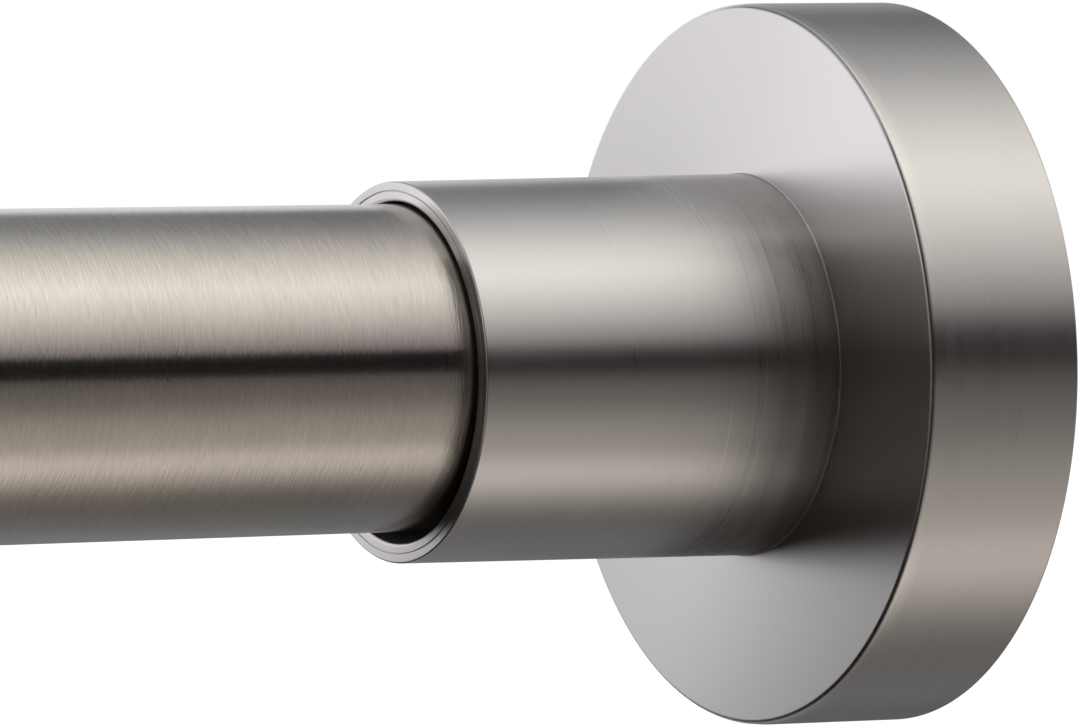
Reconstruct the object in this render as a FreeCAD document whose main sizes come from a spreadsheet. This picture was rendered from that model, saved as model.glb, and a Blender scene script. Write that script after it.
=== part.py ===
import FreeCAD, Part
import os
import Sketcher

# A spring tension rod with two die-cast wall flanges, in millimetres.
# The rod lies along X. The right wall pad's outer face is at X = 0 and the rod runs towards -X.
# Z is up. Pieces are drawn by their distance from their own wall, so the right end is turned by 180 degrees.

Vector = FreeCAD.Vector
NEAR = 0.001

doc = FreeCAD.newDocument("TensionRod")

# Driving sizes: name, value, what it is.
SIZES = [
    ("rod_length", 610.0, "pad face to pad face with the rod closed up"),
    ("tube_diameter", 25.4, "outside of the outer tube"),
    ("tube_wall", 0.8, "wall of the outer tube"),
    ("telescope_gap", 0.8, "radial room between the outer tube's bore and the inner tube"),
    ("inner_wall", 0.7, "wall of the inner tube"),
    ("inner_showing", 30.0, "bare inner tube between the bush and the left collar"),
    ("disc_diameter", 57.4, "wall disc"),
    ("disc_thickness", 13.25, "front to back of the wall disc"),
    ("face_wall", 3.0, "wall behind the disc's front, which carries the pivot"),
    ("rim_wall", 2.0, "wall of the disc's rim"),
    ("collar_length", 31.25, "collar from the disc's front to its mouth"),
    ("collar_wall", 1.74, "wall of the collar round its bore"),
    ("mouth_edge", 0.5, "eased outer edge of the collar's mouth"),
    ("collar_slack", 0.56, "radial room for the tube in the collar"),
    ("hang_gap", 0.21, "gap left above the tube where the flange hangs on it"),
    ("rib_count", 6, "ribs behind the disc's front"),
    ("rib_thickness", 1.6, "each rib of the flange and each bar of the foot"),
    ("rib_start", 8.0, "from the pivot to the inner end of a rib"),
    ("pad_thickness", 1.5, "rubber wall pad, which stands out behind the disc"),
    ("pad_inset", 1.6, "from the foot's edge in to the pad's"),
    ("foot_gap", 0.05, "radial room between the foot and the flange"),
    ("foot_plate", 2.5, "plate of the foot"),
    ("foot_depth", 5.0, "foot from its back to the ribs that it sits on"),
    ("running_play", 0.1, "end play of a turning or sliding piece"),
    ("plug_lip", 1.5, "lip of an end plug over its tube"),
    ("plug_length", 20.0, "end plug inside its tube"),
    ("push_fit", 0.02, "radial room of a pushed-in piece"),
    ("fin_count", 6, "fins of an end plug"),
    ("fin_thickness", 1.8, "each fin"),
    ("core_diameter", 10.0, "core of an end plug"),
    ("bolt_diameter", 6.0, "pivot bolt"),
    ("bolt_grip", 14.0, "pivot bolt inside the end plug"),
    ("bolt_head_width", 10.0, "head of the pivot bolt across its flats"),
    ("bolt_head_height", 4.0, "head of the pivot bolt"),
    ("bush_lip", 2.0, "lip of the bush on the outer tube's end"),
    ("bush_step", 0.3, "how far that lip stands out from the tube"),
    ("bush_length", 18.0, "bush inside the outer tube"),
    ("running_gap", 0.05, "radial room of the inner tube in the bush"),
    ("reducer_proud", 1.0, "how far the left plug's ring stands out of the collar"),
    ("park_gap", 8.0, "from the right end plug to the lock with the rod closed up"),
    ("stud_diameter", 6.0, "threaded end of the plunger rod"),
    ("stud_tip", 1.5, "thread past the stop nut"),
    ("thread_gap", 0.05, "radial room on the threaded end"),
    ("nut_width", 10.0, "stop nut across its flats"),
    ("nut_height", 5.0, "stop nut"),
    ("nut_gap", 0.5, "from the stop nut to the released wedge nut"),
    ("wedge_proud", 2.0, "how far the released wedge nut stands out of the sleeve"),
    ("wedge_length", 20.0, "wedge nut"),
    ("wedge_gap", 0.25, "room on each flat of the released wedge nut"),
    ("sleeve_length", 34.0, "split expanding sleeve"),
    ("sleeve_gap", 0.15, "radial room of the released sleeve in the outer tube"),
    ("sleeve_floor", 3.0, "closed end of the sleeve"),
    ("sleeve_wall", 1.14, "sleeve at the corners of its four-sided hole at the mouth"),
    ("taper_fall", 5.0, "how much narrower that hole is at the floor"),
    ("split_width", 2.2, "each split in the sleeve"),
    ("split_length", 26.0, "each split in the sleeve"),
    ("spring_travel", 25.0, "give of the spring when the rod is pushed in"),
    ("travel_spare", 2.0, "room left at the end of that travel"),
    ("guide_lip", 6.0, "guide's sliding head in the outer tube"),
    ("guide_length", 16.0, "guide inside the inner tube"),
    ("guide_gap", 0.08, "radial room of the guide's head in the outer tube"),
    ("hex_width", 8.0, "plunger rod across its flats"),
    ("hex_gap", 0.08, "room on each flat of the plunger rod"),
    ("head_gap", 1.16, "radial room round the corners of the plunger rod's head"),
    ("head_height", 4.0, "plunger rod's head"),
    ("seat_gap", 0.05, "room between faces that bear on each other"),
    ("spring_turns", 7, "turns of the spring"),
    ("spring_wire", 1.4, "spring wire"),
    ("spring_gap", 2.2, "radial room round the spring in the inner tube"),
    ("spring_pitch", 12.5, "from one turn of the spring to the next"),
    ("stop_length", 12.0, "spring stop in the inner tube"),
]

# Places worked out from the sizes, each as a distance from its own wall or a radius.
PLACES = [
    ("disc_front", "Sizes.pad_thickness + Sizes.disc_thickness"),
    ("mouth", "disc_front + Sizes.collar_length"),
    ("disc_radius", "Sizes.disc_diameter / 2"),
    ("tube_radius", "Sizes.tube_diameter / 2"),
    ("tube_bore", "tube_radius - Sizes.tube_wall"),
    ("inner_radius", "tube_bore - Sizes.telescope_gap"),
    ("inner_bore", "inner_radius - Sizes.inner_wall"),
    ("collar_bore", "tube_radius + Sizes.collar_slack"),
    ("collar_radius", "collar_bore + Sizes.collar_wall"),
    ("lift", "Sizes.collar_slack - Sizes.hang_gap"),
    ("face_inside", "disc_front - Sizes.face_wall"),
    ("cavity_radius", "disc_radius - Sizes.rim_wall"),
    ("bolt_radius", "Sizes.bolt_diameter / 2"),
    ("pivot_hole", "bolt_radius + Sizes.collar_slack + Sizes.running_play"),
    ("foot_radius", "cavity_radius - Sizes.foot_gap"),
    ("foot_floor", "Sizes.pad_thickness + Sizes.foot_plate"),
    ("foot_front", "Sizes.pad_thickness + Sizes.foot_depth"),
    ("pad_radius", "foot_radius - Sizes.pad_inset"),
    ("plug_face", "disc_front + Sizes.running_play"),
    ("tube_start", "plug_face + Sizes.plug_lip"),
    ("plug_end", "tube_start + Sizes.plug_length"),
    ("bolt_head_front", "face_inside - Sizes.running_play"),
    ("bolt_end", "plug_face + Sizes.bolt_grip"),
    ("bush_face", "Sizes.rod_length - mouth - Sizes.inner_showing"),
    ("tube_end", "bush_face - Sizes.bush_lip"),
    ("stud_start", "plug_end + Sizes.park_gap"),
    ("stud_radius", "Sizes.stud_diameter / 2"),
    ("stud_hole", "stud_radius + Sizes.thread_gap"),
    ("nut_start", "stud_start + Sizes.stud_tip"),
    ("wedge_start", "nut_start + Sizes.nut_height + Sizes.nut_gap"),
    ("sleeve_start", "wedge_start + Sizes.wedge_proud"),
    ("sleeve_end", "sleeve_start + Sizes.sleeve_length"),
    ("sleeve_radius", "tube_bore - Sizes.sleeve_gap"),
    ("taper_large", "(sleeve_radius - Sizes.sleeve_wall) * sqrt(2)"),
    ("taper_small", "taper_large - Sizes.taper_fall"),
    ("taper_length", "Sizes.sleeve_length - Sizes.sleeve_floor"),
    ("taper_slope", "Sizes.taper_fall / taper_length"),
    ("wedge_large", "taper_large + Sizes.wedge_proud * taper_slope - 2 * Sizes.wedge_gap"),
    ("wedge_small", "wedge_large - Sizes.wedge_length * taper_slope"),
    ("hex_start", "sleeve_end + Sizes.seat_gap"),
    ("guide_start", "hex_start + Sizes.spring_travel + Sizes.travel_spare"),
    ("inner_end", "guide_start + Sizes.guide_lip"),
    ("guide_end", "inner_end + Sizes.guide_length"),
    ("head_start", "guide_end + Sizes.running_play"),
    ("head_end", "head_start + Sizes.head_height"),
    ("head_width", "2 * cos(30) * (inner_bore - Sizes.head_gap)"),
    ("coil_radius", "inner_bore - Sizes.spring_gap - Sizes.spring_wire / 2"),
    ("spring_start", "head_end + Sizes.seat_gap + Sizes.spring_wire / 2"),
    ("spring_end", "spring_start + Sizes.spring_turns * Sizes.spring_pitch"),
    ("stop_start", "spring_end + Sizes.spring_wire / 2 + Sizes.seat_gap"),
    ("stop_end", "stop_start + Sizes.stop_length"),
]


def fill_sheet(name, rows):
    """A sheet with one named cell a row; the text beside it says what it holds."""
    sheet = doc.addObject("Spreadsheet::Sheet", name)
    for row, (alias, text, note) in enumerate(rows, 1):
        sheet.set(f"A{row}", alias)
        sheet.set(f"B{row}", text)
        sheet.setAlias(f"B{row}", alias)
        sheet.set(f"C{row}", note)
    doc.recompute()
    return sheet


sizes = fill_sheet("Sizes", [(alias, str(size), note) for alias, size, note in SIZES])
places = fill_sheet("Places", [(alias, "=" + rule, "worked out") for alias, rule in PLACES])


def number(expression):
    """The value of an expression in the sizes and places."""
    result = sizes.evalExpression(expression)
    return float(getattr(result, "Value", result))


def new_body(label):
    body = doc.addObject("PartDesign::Body", label)
    body.Label = label
    return body


def origin_part(body, role):
    """One of the body's own origin planes or axes."""
    return next(part for part in body.Origin.OriginFeatures if part.Role == role)


def new_sketch(body, name, plane="XY_Plane", offset=None):
    """A sketch on one of the body's origin planes, moved off it along its normal."""
    sketch = body.newObject("Sketcher::SketchObject", name)
    sketch.AttachmentSupport = [(origin_part(body, plane), "")]
    sketch.MapMode = "FlatFace"
    if offset:
        sketch.setExpression("AttachmentOffset.Base.z", offset)
        doc.recompute()
    return sketch


def bind(sketch, kind, references, name, expression):
    """One dimension of a sketch, driven by an expression."""
    index = sketch.addConstraint(Sketcher.Constraint(kind, *references, number(expression)))
    sketch.renameConstraint(index, name)
    sketch.setExpression(f"Constraints.{name}", expression)


def pin_point(sketch, edge, end, across, up, name):
    """Fix one point of a sketch by its two coordinates."""
    for kind, axis, expression, label in (
        ("DistanceX", -2, across, f"across_{name}"),
        ("DistanceY", -1, up, f"up_{name}"),
    ):
        value = number(expression)
        if abs(value) < NEAR:
            sketch.addConstraint(Sketcher.Constraint("PointOnObject", edge, end, axis))
        elif value > 0:
            bind(sketch, kind, (-1, 1, edge, end), label, expression)
        else:
            bind(sketch, kind, (edge, end, -1, 1), label, f"-({expression})")


def draw_outline(sketch, corners):
    """A closed outline of straight edges through corners given as expressions."""
    points = [Vector(number(across), number(up), 0) for across, up in corners]
    first = sketch.GeometryCount
    count = len(points)
    for i in range(count):
        sketch.addGeometry(Part.LineSegment(points[i], points[(i + 1) % count]))
    for i in range(count):
        after = first + (i + 1) % count
        sketch.addConstraint(Sketcher.Constraint("Coincident", first + i, 2, after, 1))
    for i, (across, up) in enumerate(corners):
        pin_point(sketch, first + i, 1, across, up, str(first + i))


def draw_circle(sketch, radius, across="0", up="0"):
    """A circle with its centre and radius given as expressions."""
    centre = Vector(number(across), number(up), 0)
    edge = sketch.addGeometry(Part.Circle(centre, Vector(0, 0, 1), number(radius)))
    pin_point(sketch, edge, 3, across, up, str(edge))
    bind(sketch, "Radius", (edge,), f"radius_{edge}", radius)


def draw_regular(sketch, sides, width):
    """A regular shape round the origin, given across its flats, with a corner on the first axis."""
    corner = f"({width}) / 2 / cos({180 / sides})"
    draw_outline(sketch, [
        (f"{corner} * cos({360 * i / sides})", f"{corner} * sin({360 * i / sides})")
        for i in range(sides)
    ])


def turned(body, name, corners, feature="PartDesign::Revolution"):
    """Turn an outline of (distance along the rod, radius) corners about the rod's axis."""
    sketch = new_sketch(body, name + "Outline")
    draw_outline(sketch, corners)
    turn = body.newObject(feature, name)
    turn.Profile = sketch
    turn.ReferenceAxis = (sketch, ["H_Axis"])
    turn.Angle = 360
    doc.recompute()
    return turn


def extruded(body, name, draw, start, length, cut=False):
    """Pad or pocket a cross-section, drawn across the rod, from start away from the wall."""
    sketch = new_sketch(body, name + "Section", "YZ_Plane", start)
    draw(sketch)
    kind = "PartDesign::Pocket" if cut else "PartDesign::Pad"
    feature = body.newObject(kind, name)
    feature.Profile = sketch
    feature.Reversed = cut
    feature.setExpression("Length", length)
    doc.recompute()
    return feature


def ringed(body, name, feature, count):
    """Repeat one feature round the rod's axis."""
    ring = body.newObject("PartDesign::PolarPattern", name)
    ring.Originals = [feature]
    ring.Axis = (origin_part(body, "X_Axis"), [""])
    ring.Angle = 360
    ring.setExpression("Occurrences", count)
    body.Tip = ring
    doc.recompute()
    return ring


def rims(shape, along, radius):
    """The names of the round edges at one distance along the rod and of one radius."""
    found = []
    for index, edge in enumerate(shape.Edges, 1):
        curve = edge.Curve
        if isinstance(curve, Part.Circle):
            if abs(curve.Center.x - number(along)) < NEAR and abs(curve.Radius - number(radius)) < NEAR:
                found.append(f"Edge{index}")
    return found


def eased(body, name, size, along, radius):
    """Bevel the round edge at one place and radius."""
    base = body.Tip
    names = rims(base.Shape, along, radius)
    bevel = body.newObject("PartDesign::Chamfer", name)
    bevel.Base = (base, names)
    bevel.setExpression("Size", size)
    doc.recompute()
    return bevel


def rectangle(left, right, low, high):
    """A drawing function for a rectangle with its sides given as expressions."""
    corners = [(left, low), (right, low), (right, high), (left, high)]
    return lambda sketch: draw_outline(sketch, corners)


# The wall flange: a hollow disc and a collar, cast in one piece and brushed.


def make_flange(side):
    body = new_body(f"{side}_flange")
    turned(body, "Casting", [
        ("Sizes.pad_thickness", "Places.disc_radius"),
        ("Places.disc_front", "Places.disc_radius"),
        ("Places.disc_front", "Places.collar_radius"),
        ("Places.mouth", "Places.collar_radius"),
        ("Places.mouth", "Places.collar_bore"),
        ("Places.disc_front", "Places.collar_bore"),
        ("Places.disc_front", "Places.pivot_hole"),
        ("Places.face_inside", "Places.pivot_hole"),
        ("Places.face_inside", "Places.cavity_radius"),
        ("Sizes.pad_thickness", "Places.cavity_radius"),
    ])
    half = "Sizes.rib_thickness / 2"
    rib = extruded(
        body,
        "Rib",
        rectangle("-" + half, half, "Sizes.rib_start", "Places.cavity_radius + Sizes.rim_wall / 2"),
        "Places.foot_front",
        "Places.face_inside - Places.foot_front + Sizes.face_wall / 2",
    )
    ringed(body, "Ribs", rib, "Sizes.rib_count")
    eased(body, "MouthEdge", "Sizes.mouth_edge", "Places.mouth", "Places.collar_radius")
    return body


# The moulded foot closes the flange's hollow back, and the pad is glued to it.


def make_foot(side):
    body = new_body(f"{side}_foot")
    turned(body, "Plate", [
        ("Sizes.pad_thickness", "0"),
        ("Sizes.pad_thickness", "Places.foot_radius"),
        ("Places.foot_floor", "Places.foot_radius"),
        ("Places.foot_floor", "0"),
    ])
    half = "Sizes.rib_thickness / 2"
    bar = extruded(
        body,
        "Bar",
        rectangle("-" + half, half, "Sizes.rib_start", "Places.pad_radius"),
        "Places.foot_floor",
        "Places.foot_front - Places.foot_floor",
    )
    ringed(body, "Bars", bar, "Sizes.rib_count")
    return body


def make_pad(side):
    body = new_body(f"{side}_wall_pad")
    turned(body, "Disc", [
        ("0", "0"),
        ("0", "Places.pad_radius"),
        ("Sizes.pad_thickness", "Places.pad_radius"),
        ("Sizes.pad_thickness", "0"),
    ])
    return body


# The swivel: a bolt through the floor of the collar's bore into the plug in the tube's end.


def make_pivot_bolt(side):
    body = new_body(f"{side}_pivot_bolt")
    head_back = "Places.bolt_head_front - Sizes.bolt_head_height"
    extruded(
        body,
        "Head",
        lambda sketch: draw_regular(sketch, 6, "Sizes.bolt_head_width"),
        head_back,
        "Sizes.bolt_head_height",
    )
    extruded(
        body,
        "Shank",
        lambda sketch: draw_circle(sketch, "Places.bolt_radius"),
        "Places.bolt_head_front",
        "Places.bolt_end - Places.bolt_head_front",
    )
    return body


def make_end_plug(side, bore):
    """A lip over the tube's end and a finned spigot pushed into the tube."""
    body = new_body(f"{side}_end_plug")
    pilot = "Places.bolt_radius + Sizes.push_fit"
    pilot_end = "Places.bolt_end + Sizes.running_play"
    spigot = f"{bore} - Sizes.push_fit"
    turned(body, "Spigot", [
        ("Places.plug_face", pilot),
        ("Places.plug_face", "Places.tube_radius"),
        ("Places.tube_start", "Places.tube_radius"),
        ("Places.tube_start", spigot),
        ("Places.plug_end", spigot),
        ("Places.plug_end", "0"),
        (pilot_end, "0"),
        (pilot_end, pilot),
    ])
    half_turn = "180 / Sizes.fin_count"
    low = "Sizes.core_diameter / 2"
    high = f"({bore} + Sizes.tube_wall)"
    half_fin = f"Sizes.fin_thickness / 2 / cos({half_turn})"
    low_reach = f"({low} * tan({half_turn}) - {half_fin})"
    high_reach = f"({high} * tan({half_turn}) - {half_fin})"
    corners = [
        ("-" + low_reach, low),
        (low_reach, low),
        (high_reach, high),
        ("-" + high_reach, high),
    ]
    gap = extruded(
        body,
        "Gap",
        lambda sketch: draw_outline(sketch, corners),
        "Places.tube_start",
        "Sizes.plug_length",
        cut=True,
    )
    ringed(body, "Gaps", gap, "Sizes.fin_count")
    return body


def make_left_plug():
    """Like the right plug, with a ring that fills the collar out from the thinner tube."""
    body = make_end_plug("left", "Places.inner_bore")
    end = "Places.mouth + Sizes.reducer_proud"
    hole = "Places.inner_radius + Sizes.push_fit"
    turned(body, "Ring", [
        ("Places.plug_face + Sizes.plug_lip / 2", hole),
        ("Places.plug_face + Sizes.plug_lip / 2", "Places.tube_radius"),
        (end, "Places.tube_radius"),
        (end, hole),
    ])
    return body


# The two tubes, and the bush that the inner one slides in.


def make_tube(label, near, far, radius, bore):
    body = new_body(label)
    turned(body, "Wall", [(near, bore), (near, radius), (far, radius), (far, bore)])
    return body


def make_mouth_bush():
    body = new_body("outer_tube_mouth_bush")
    hole = "Places.inner_radius + Sizes.running_gap"
    spigot = "Places.tube_bore - Sizes.push_fit"
    lip = "Places.tube_radius + Sizes.bush_step"
    turned(body, "Bush", [
        ("Places.tube_end - Sizes.bush_length", hole),
        ("Places.tube_end - Sizes.bush_length", spigot),
        ("Places.tube_end", spigot),
        ("Places.tube_end", lip),
        ("Places.bush_face", lip),
        ("Places.bush_face", hole),
    ])
    return body


# The twist lock: turning the inner tube draws a four-sided wedge nut into a split sleeve,
# whose four fingers then grip the outer tube. The splits run through the corners of its hole.


def taper(body, kind, near, length, near_width, far_width):
    """Add or cut a four-sided taper along the rod's axis, with its corners up, down and to the sides."""
    wedge = body.newObject("PartDesign::" + kind, "Taper")
    ahead = Vector(1, 0, 0)
    flat = Vector(0, 1, 1)
    wedge.Placement = FreeCAD.Placement(Vector(), FreeCAD.Rotation(flat, ahead, flat.cross(ahead), "XYZ"))
    wedge.setExpression("Placement.Base.x", near)
    wedge.Ymin = 0
    wedge.setExpression("Ymax", length)
    for side in "XZ":
        wedge.setExpression(side + "min", f"-({near_width}) / 2")
        wedge.setExpression(side + "max", f"({near_width}) / 2")
        wedge.setExpression(side + "2min", f"-({far_width}) / 2")
        wedge.setExpression(side + "2max", f"({far_width}) / 2")
    doc.recompute()
    return wedge


def make_lock_sleeve():
    body = new_body("lock_sleeve")
    turned(body, "Shell", [
        ("Places.sleeve_start", "Places.stud_hole"),
        ("Places.sleeve_start", "Places.sleeve_radius"),
        ("Places.sleeve_end", "Places.sleeve_radius"),
        ("Places.sleeve_end", "Places.stud_hole"),
    ])
    taper(
        body,
        "SubtractiveWedge",
        "Places.sleeve_start",
        "Places.taper_length",
        "Places.taper_large",
        "Places.taper_small",
    )
    half = "Sizes.split_width / 2"
    for plane in ("XY_Plane", "XZ_Plane"):
        sketch = new_sketch(body, "SplitOutline" + plane[:2], plane)
        draw_outline(sketch, [
            ("Places.wedge_start", "-" + half),
            ("Places.sleeve_start + Sizes.split_length", "-" + half),
            ("Places.sleeve_start + Sizes.split_length", half),
            ("Places.wedge_start", half),
        ])
        split = body.newObject("PartDesign::Pocket", "Split" + plane[:2])
        split.Profile = sketch
        split.Type = "ThroughAll"
        split.Midplane = True
        doc.recompute()
    return body


def drill(body, near, length, radius):
    """A round hole along the rod's axis."""
    return extruded(body, "Drilling", lambda sketch: draw_circle(sketch, radius), near, length, cut=True)


def make_wedge_nut():
    body = new_body("lock_wedge_nut")
    taper(
        body,
        "AdditiveWedge",
        "Places.wedge_start",
        "Sizes.wedge_length",
        "Places.wedge_large",
        "Places.wedge_small",
    )
    drill(body, "Places.wedge_start", "Sizes.wedge_length", "Places.stud_hole")
    return body


def make_stop_nut():
    body = new_body("lock_stop_nut")
    extruded(
        body,
        "Hexagon",
        lambda sketch: draw_regular(sketch, 6, "Sizes.nut_width"),
        "Places.nut_start",
        "Sizes.nut_height",
    )
    drill(body, "Places.nut_start", "Sizes.nut_height", "Places.stud_radius + Sizes.push_fit")
    return body


def make_plunger_rod():
    """A hexagon bar with an upset head for the spring and a threaded stud for the lock."""
    body = new_body("plunger_rod")
    extruded(
        body,
        "Stud",
        lambda sketch: draw_circle(sketch, "Places.stud_radius"),
        "Places.stud_start",
        "Places.hex_start - Places.stud_start",
    )
    extruded(
        body,
        "Bar",
        lambda sketch: draw_regular(sketch, 6, "Sizes.hex_width"),
        "Places.hex_start",
        "Places.head_start - Places.hex_start",
    )
    extruded(
        body,
        "Head",
        lambda sketch: draw_regular(sketch, 6, "Places.head_width"),
        "Places.head_start",
        "Sizes.head_height",
    )
    return body


def make_guide():
    body = new_body("guide_bush")
    head = "Places.tube_bore - Sizes.guide_gap"
    spigot = "Places.inner_bore - Sizes.push_fit"
    turned(body, "Plug", [
        ("Places.guide_start", "0"),
        ("Places.guide_start", head),
        ("Places.inner_end", head),
        ("Places.inner_end", spigot),
        ("Places.guide_end", spigot),
        ("Places.guide_end", "0"),
    ])
    extruded(
        body,
        "Keyway",
        lambda sketch: draw_regular(sketch, 6, "Sizes.hex_width + 2 * Sizes.hex_gap"),
        "Places.guide_start",
        "Places.guide_end - Places.guide_start",
        cut=True,
    )
    return body


# The spring and the stop that it pushes on inside the inner tube.


def make_spring_stop():
    body = new_body("spring_stop")
    turned(body, "Plug", [
        ("Places.stop_start", "0"),
        ("Places.stop_start", "Places.inner_bore - Sizes.push_fit"),
        ("Places.stop_end", "Places.inner_bore - Sizes.push_fit"),
        ("Places.stop_end", "0"),
    ])
    return body


def make_spring():
    """Five-sided wire along a helix about the rod's axis, with ten straight stretches a turn."""
    stretches = 10
    wire_sides = 5
    start = number("Places.spring_start")
    coil_radius = number("Places.coil_radius")
    wire_radius = number("Sizes.spring_wire / 2")
    pitch = number("Sizes.spring_pitch")
    sections = []
    for step in range(round(number("Sizes.spring_turns") * stretches) + 1):
        turn = step / stretches
        outward = FreeCAD.Rotation(Vector(1, 0, 0), 360 * turn).multVec(Vector(0, 1, 0))
        centre = Vector(start + pitch * turn, 0, 0) + outward * coil_radius
        corners = []
        for side in range(wire_sides + 1):
            lean = FreeCAD.Rotation(Vector(0, 0, 1), 360 * side / wire_sides)
            across = lean.multVec(Vector(0, wire_radius, 0))
            corners.append(centre + outward * across.y + Vector(across.x, 0, 0))
        sections.append(Part.makePolygon(corners))
    coil = doc.addObject("Part::Feature", "spring")
    coil.Label = "spring"
    coil.Shape = Part.makeLoft(sections, True, True)
    return coil


RIGHT = FreeCAD.Rotation(Vector(0, 0, 1), 180)
LEFT = FreeCAD.Rotation()


def place(body, side, on_tube):
    """Stand a piece on its wall; what is carried by the tube sits higher than the flange that hangs on it."""
    body.Placement = FreeCAD.Placement(Vector(0, 0, 0), RIGHT if side == "right" else LEFT)
    if side == "left":
        body.setExpression("Placement.Base.x", "-Sizes.rod_length")
    if on_tube:
        body.setExpression("Placement.Base.z", "Places.lift")


nodes = []


def keep(body, side, on_tube):
    place(body, side, on_tube)
    nodes.append(body)


for side in ("right", "left"):
    for make in (make_flange, make_foot, make_pad):
        keep(make(side), side, False)
    keep(make_pivot_bolt(side), side, True)
keep(make_end_plug("right", "Places.tube_bore"), "right", True)
keep(make_left_plug(), "left", True)
keep(
    make_tube("outer_tube", "Places.tube_start", "Places.tube_end", "Places.tube_radius", "Places.tube_bore"),
    "right",
    True,
)
keep(
    make_tube(
        "inner_tube",
        "Places.tube_start",
        "Sizes.rod_length - Places.inner_end",
        "Places.inner_radius",
        "Places.inner_bore",
    ),
    "left",
    True,
)
for make in (
    make_mouth_bush,
    make_lock_sleeve,
    make_wedge_nut,
    make_stop_nut,
    make_plunger_rod,
    make_guide,
    make_spring,
    make_spring_stop,
):
    keep(make(), "right", True)
doc.recompute()

for item in doc.Objects:
    if "Invalid" in item.State or "Error" in item.State:
        raise RuntimeError(f"{item.Label} failed: {item.State}")
for body in nodes:
    if body.Shape.isNull() or not body.Shape.isValid():
        raise RuntimeError(f"{body.Label} has no valid shape")

os.makedirs("parts", exist_ok=True)
for body in nodes:
    body.Shape.exportStep(f"parts/{body.Label}.step")
    print(f"{body.Label}: {body.Shape.Volume:.0f} mm3")
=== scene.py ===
import math

import bpy
import numpy as np
from mathutils import Matrix, Vector


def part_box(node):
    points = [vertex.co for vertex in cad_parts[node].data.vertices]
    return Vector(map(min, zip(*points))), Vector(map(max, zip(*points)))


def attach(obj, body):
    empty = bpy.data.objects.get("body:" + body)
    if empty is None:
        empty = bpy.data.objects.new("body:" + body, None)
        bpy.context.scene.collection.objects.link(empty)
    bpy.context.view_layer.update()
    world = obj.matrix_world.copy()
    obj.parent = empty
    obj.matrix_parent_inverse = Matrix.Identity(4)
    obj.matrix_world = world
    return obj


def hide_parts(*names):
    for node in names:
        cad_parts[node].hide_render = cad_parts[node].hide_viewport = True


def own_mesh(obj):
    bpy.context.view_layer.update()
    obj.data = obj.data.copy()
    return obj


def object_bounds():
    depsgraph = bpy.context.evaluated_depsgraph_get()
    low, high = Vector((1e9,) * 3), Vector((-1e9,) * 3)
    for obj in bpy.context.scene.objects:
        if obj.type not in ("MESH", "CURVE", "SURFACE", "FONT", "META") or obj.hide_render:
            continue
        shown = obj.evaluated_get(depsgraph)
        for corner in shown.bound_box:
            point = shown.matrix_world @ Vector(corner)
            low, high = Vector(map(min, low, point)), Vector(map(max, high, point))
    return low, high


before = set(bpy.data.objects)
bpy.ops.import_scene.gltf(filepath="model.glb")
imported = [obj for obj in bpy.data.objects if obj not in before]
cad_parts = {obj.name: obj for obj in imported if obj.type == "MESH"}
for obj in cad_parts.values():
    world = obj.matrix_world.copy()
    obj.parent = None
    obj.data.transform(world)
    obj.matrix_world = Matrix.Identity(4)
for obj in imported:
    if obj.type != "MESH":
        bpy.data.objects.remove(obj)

bl_info = {
    "name": "Spring Tension Rod",
    "version": (1, 0, 0),
    "blender": (4, 5, 0),
    "location": "3D View > Sidebar > Tension Rod",
    "description": "Builds the visible pieces of a spring tension rod around its packed frame",
    "category": "Add Mesh",
}

MM = 0.001
AROUND = 256  # points round a turned piece
THREAD_AROUND = 96  # points round a bolt, a nut or the plunger rod
ROUND_STEPS = 9  # points on a rounded corner
SHARP = math.radians(28)  # an edge that turns by more than this stays sharp

# Places that come from the frame.

CAD_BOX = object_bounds()
ROD_LENGTH = CAD_BOX[1].x - CAD_BOX[0].x
TUBE_LOW, TUBE_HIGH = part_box("outer_tube")
INNER_LOW, INNER_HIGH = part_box("inner_tube")
TUBE_AXIS = (TUBE_LOW.z + TUBE_HIGH.z) / 2


# Sizes and finishes that a user would change.


class RodSizes(bpy.types.PropertyGroup):
    """Outlines of the turned pieces that show."""

    disc_front_radius: bpy.props.FloatProperty(
        name="Disc Front Radius", description="Wall disc at its front edge",
        default=28.60 * MM, unit="LENGTH", precision=5)
    disc_back_radius: bpy.props.FloatProperty(
        name="Disc Back Radius", description="Wall disc at its back edge",
        default=28.70 * MM, unit="LENGTH", precision=5)
    disc_edge_round: bpy.props.FloatProperty(
        name="Disc Edge Round", description="Rounding of the disc's front edge",
        default=0.34 * MM, unit="LENGTH", precision=5)
    collar_base_radius: bpy.props.FloatProperty(
        name="Collar Base Radius", description="Collar where it leaves the disc",
        default=15.13 * MM, unit="LENGTH", precision=5)
    collar_mouth_radius: bpy.props.FloatProperty(
        name="Collar Mouth Radius", description="Collar at its mouth",
        default=14.81 * MM, unit="LENGTH", precision=5)
    collar_fillet: bpy.props.FloatProperty(
        name="Collar Fillet", description="Hollow rounding where the collar meets the disc",
        default=0.10 * MM, unit="LENGTH", precision=5)
    groove_depth: bpy.props.FloatProperty(
        name="Mouth Groove", description="Depth of the turned line round the collar's mouth",
        default=0.12 * MM, unit="LENGTH", precision=5)
    mouth_round: bpy.props.FloatProperty(
        name="Mouth Round", description="Rounding of the collar's mouth",
        default=0.15 * MM, unit="LENGTH", precision=5)


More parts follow.
